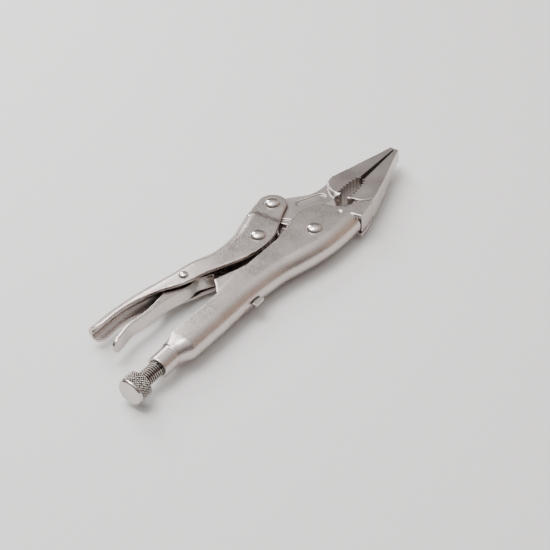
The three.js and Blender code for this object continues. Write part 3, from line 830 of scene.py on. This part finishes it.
def evenly(start, end, rows):
    """rows + 1 places from start to end."""
    return [start + (end - start) * k / rows for k in range(rows + 1)]


def adjusting_screw():
    """Knurled knob, thread and plain shank as rings along the axis, each (x, radius at an angle)."""
    knob_front = KNOB_END_X + KNOB_LENGTH
    knurl_start, knurl_end = KNOB_END_X + 1.9, knob_front - 0.7
    thread_start, thread_end = knob_front + 0.9, knob_front + THREAD_LENGTH
    sides = 216

    def plain(*stops):
        return [(x, lambda _x, _angle, r=radius: r) for x, radius in stops]

    dished_face = [(KNOB_END_X + 0.5, 0.02)]
    for share in (0.2, 0.4, 0.6, 0.75):
        dished_face.append((KNOB_END_X + 0.5 - 0.5 * share ** 3, (KNOB_R - 1.2) * share))
    rim = [
        (KNOB_END_X + x, KNOB_R - inset) for x, inset in
        ((0.0, 1.25), (0.04, 1.0), (0.2, 0.7), (0.6, 0.35), (1.0, 0.22), (1.5, 0.2), (1.8, 0.35))
    ]
    knob_back = [
        (knurl_end + x, radius) for x, radius in
        ((0.1, KNOB_R - 0.5), (0.55, KNOB_R - 1.0), (0.7, KNOB_R - 1.6), (0.72, 4.4), (0.74, 3.3))
    ]
    shank = [
        (thread_end + 0.1, SHANK_R), (SCREW_TIP_X - 1.2, SHANK_R), (SCREW_TIP_X - 0.4, SHANK_R - 0.4),
        (SCREW_TIP_X, SHANK_R - 1.2), (SCREW_TIP_X + 0.02, 0.02),
    ]
    stations = [
        *plain(*dished_face, *rim),
        *[(x, knob_radius) for x in evenly(knurl_start, knurl_end, 44)],
        *plain(*knob_back, (thread_start - 0.05, THREAD_R - THREAD_DEPTH)),
        *[(x, thread_radius) for x in evenly(thread_start, thread_end, 200)],
        *plain(*shank),
    ]
    rings = []
    for x, radius in stations:
        ring = []
        for k in range(sides):
            angle = 2 * math.pi * k / sides
            r = radius(x, angle)
            ring.append(Vector((x, SCREW_Y + r * math.cos(angle), r * math.sin(angle))))
        rings.append(ring)
    return rings_to_mesh("screw", rings)


# ---------- spring and its anchor ----------

SPRING_R = 2.6
SPRING_TURNS = 24
SPRING_FRONT = Vector((-17.5, 9.3))
SPRING_REAR = Vector((-46.5, 3.2))


def tube(line, radius, sides=10):
    """A round wire along a list of 3-D points."""
    rings = []
    side = None
    for i, spot in enumerate(line):
        along = (line[min(i + 1, len(line) - 1)] - line[max(i - 1, 0)]).normalized()
        if side is None:
            side = along.orthogonal().normalized()
        side = (side - along * side.dot(along)).normalized()
        other = along.cross(side)
        ring = []
        for k in range(sides):
            angle = 2 * math.pi * k / sides
            ring.append(spot + (side * math.cos(angle) + other * math.sin(angle)) * radius)
        rings.append(ring)
    return rings_to_mesh("wire", rings)


def tension_spring():
    x, y = HOOK_HOLE
    front = [(x, y, -2.2), (x, y, 0.2), (x, y, 1.7), (x - 1, y + 0.1, 2.5), (x - 4.5, y - 0.4, 2.9),
             (x - 8, y - 2.2, 2.8)]
    along = (SPRING_REAR - SPRING_FRONT).normalized()
    across = Vector((-along.y, along.x))
    per_turn = 20
    coil = []
    for k in range(SPRING_TURNS * per_turn + 1):
        angle = math.pi / 2 - 2 * math.pi * k / per_turn
        base = SPRING_FRONT.lerp(SPRING_REAR, k / (SPRING_TURNS * per_turn))
        spot = base + across * SPRING_R * math.cos(angle)
        coil.append(Vector((spot.x, spot.y, SPRING_R * math.sin(angle))))
    x, y = ANCHOR
    rear = [(x + 5, y + 1, 2.4), (x + 1, y + 0.1, 1.9), (x, y, 0.8), (x, y, -1.7)]
    front_line = spline([*front, coil[0]], 6)
    rear_line = spline([coil[-1], *rear], 6)
    return tube(front_line[:-1] + coil + rear_line[1:], 0.55)


def spring_anchor():
    x = ANCHOR.x
    spine_y = -3.2
    outline = path(
        (x - 3.2, spine_y - 2.9), (x + 3.2, spine_y - 2.9), (x + 3.2, spine_y - GAP),
        (x + 1.6, spine_y - GAP), (x + 1.6, 2.55), (x - 1.6, 2.55), (x - 1.6, spine_y - GAP),
        (x - 3.2, spine_y - GAP),
    )
    hook = cut(plate(outline, -0.75, 0.75), cross_bar(ANCHOR, 0.95, 2, 24))
    return soften(hook, 0.12, 5, 0.5)


# ---------- rivets ----------

# shaft radius, head radius and head height
RIVET = (2.9, 3.95, 2.0)
LEVER_RIVET = (1.5, 2.35, 1.3)


def rivet(centre, shaft_r, head_r, head_height, cheek):
    """A domed rivet with a slightly flattened crown, headed on both sides."""
    sides = 64
    steps = 14
    low = cheek + 0.08
    profile = []
    for k in range(steps + 1):
        angle = math.pi / 2 * k / steps
        radius = head_r * math.sin(angle)
        height = head_height * max(0.0, math.cos(angle)) ** 0.9
        profile.append((max(radius, 0.01), low + height))
    profile += [(head_r - 0.12, low + 0.01), (shaft_r, low)]
    full = [(r, -z) for r, z in profile] + [(r, z) for r, z in reversed(profile)]
    rings = []
    for radius, z in full:
        rings.append([Vector((p.x, p.y, z)) for p in arc(centre, radius, 0, 360, sides)[:-1]])
    return rings_to_mesh("rivet", rings)


# ---------- the tool ----------

place(fixed_handle(), "fixed_handle_shell", "fixed_body", "pressed_steel", satin, "fixed_handle")
place(fixed_jaw(), "fixed_jaw_forging", "fixed_body", "forged_steel", forged, "fixed_jaw", crease=32)
place(movable_jaw(), "movable_jaw_forging", "jaw", "forged_steel", forged, "movable_jaw", crease=32)
place(movable_handle(), "movable_handle_shell", "handle", "pressed_steel", satin, "movable_handle")
place(toggle_link(), "toggle_link_plate", "link", "pressed_steel", satin, "toggle_link")
place(release_lever(), "release_lever_pressing", "lever", "polished_steel", lever_bright, "release_lever")
place(adjusting_screw(), "adjusting_screw_turned", "screw", "polished_steel", thread_steel,
      "adjusting_screw", crease=50)
place(spring_anchor(), "spring_anchor_plate", "fixed_body", "pressed_steel", satin, "spring_anchor")
# The cheek slopes here, so the lever's rivet seats on the wider side of its head.
lever_cheek = HANDLE_HALF * handle_width(LEVER_PIVOT.x + LEVER_RIVET[1])
rivets = (
    ("main_pivot_rivet", "fixed_body", Vector((0, 0)), RIVET, BODY_HALF),
    ("jaw_link_rivet", "jaw", LINK_PIVOT.xy, RIVET, EAR_HALF),
    ("toggle_rivet", "handle", TOGGLE_PIVOT.xy, RIVET, HANDLE_HALF),
    ("lever_rivet", "handle", LEVER_PIVOT.xy, LEVER_RIVET, lever_cheek),
)
for name, body, centre, size, cheek in rivets:
    place(rivet(centre, *size, cheek), name + "_dome", body, "polished_steel", bright, name, crease=60)

spring = finished(tension_spring(), "tension_spring_coil", wire_steel)
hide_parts("tension_spring")
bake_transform(spring)


# ---------- studio ----------

def floor():
    """A plain pale floor, just under the tool."""
    work = bmesh.new()
    bmesh.ops.create_grid(work, x_segments=8, y_segments=8, size=1.6)
    ground = from_bmesh("floor", work)
    ground.location = (0, 0, -0.0002)
    material = bpy.data.materials.new("pale_floor")
    material.use_nodes = True
    shader = material.node_tree.nodes["Principled BSDF"]
    shader.inputs["Base Color"].default_value = (0.80, 0.79, 0.78, 1)
    shader.inputs["Roughness"].default_value = 0.7
    ground.data.materials.append(material)


def softbox(name, direction, distance, width, height, watts, colour=(1, 1, 1)):
    """An area light that faces the tool from the given direction."""
    lamp = bpy.data.lights.new(name, "AREA")
    lamp.shape = "RECTANGLE"
    lamp.size = width
    lamp.size_y = height
    lamp.energy = watts
    lamp.color = colour
    light = bpy.data.objects.new(name, lamp)
    bpy.context.scene.collection.objects.link(light)
    towards = Vector(direction).normalized()
    light.location = towards * distance
    light.rotation_euler = towards.to_track_quat("Z", "Y").to_euler()
    return light


def world():
    """A soft grey room, lighter overhead than at the sides."""
    sky = bpy.data.worlds.new("studio")
    bpy.context.scene.world = sky
    sky.use_nodes = True
    nodes, links = sky.node_tree.nodes, sky.node_tree.links
    coords = nodes.new("ShaderNodeTexCoord")
    split = nodes.new("ShaderNodeSeparateXYZ")
    links.new(coords.outputs["Generated"], split.inputs["Vector"])
    ramp = nodes.new("ShaderNodeValToRGB")
    ramp.color_ramp.elements[0].position = 0.0
    ramp.color_ramp.elements[0].color = (0.11, 0.10, 0.092, 1)
    ramp.color_ramp.elements[1].position = 1.0
    ramp.color_ramp.elements[1].color = (1, 1, 1, 1)
    middle = ramp.color_ramp.elements.new(0.55)
    middle.color = (0.19, 0.178, 0.172, 1)
    links.new(split.outputs["Z"], ramp.inputs["Fac"])
    links.new(ramp.outputs["Color"], nodes["Background"].inputs["Color"])
    nodes["Background"].inputs["Strength"].default_value = 1.5


def camera():
    """Looks down on the tool from behind its screw."""
    data = bpy.data.cameras.new("camera")
    data.sensor_width = 36
    data.lens = 93.09
    data.clip_start = 0.01
    eye = bpy.data.objects.new("camera", data)
    bpy.context.scene.collection.objects.link(eye)
    right = Vector((0.5852, -0.8092, -0.0524))
    up = Vector((0.5411, 0.3416, 0.7685))
    back = right.cross(up)
    turn = Matrix((right, up, back)).transposed().to_4x4()
    eye.matrix_world = Matrix.Translation(PIVOT + Vector((-463.0, -339.1, 452.6)) * MM) @ turn
    bpy.context.scene.camera = eye


floor()
world()
softbox("key", (0.30, 0.76, 0.58), 0.95, 0.34, 0.34, 4.5)
softbox("top", (-0.1, 0.3, 1.0), 1.0, 0.6, 0.6, 11.0)
softbox("fill", (0.80, -0.45, 0.34), 0.9, 1.3, 0.6, 1.2, (1.0, 0.66, 0.46))
camera()
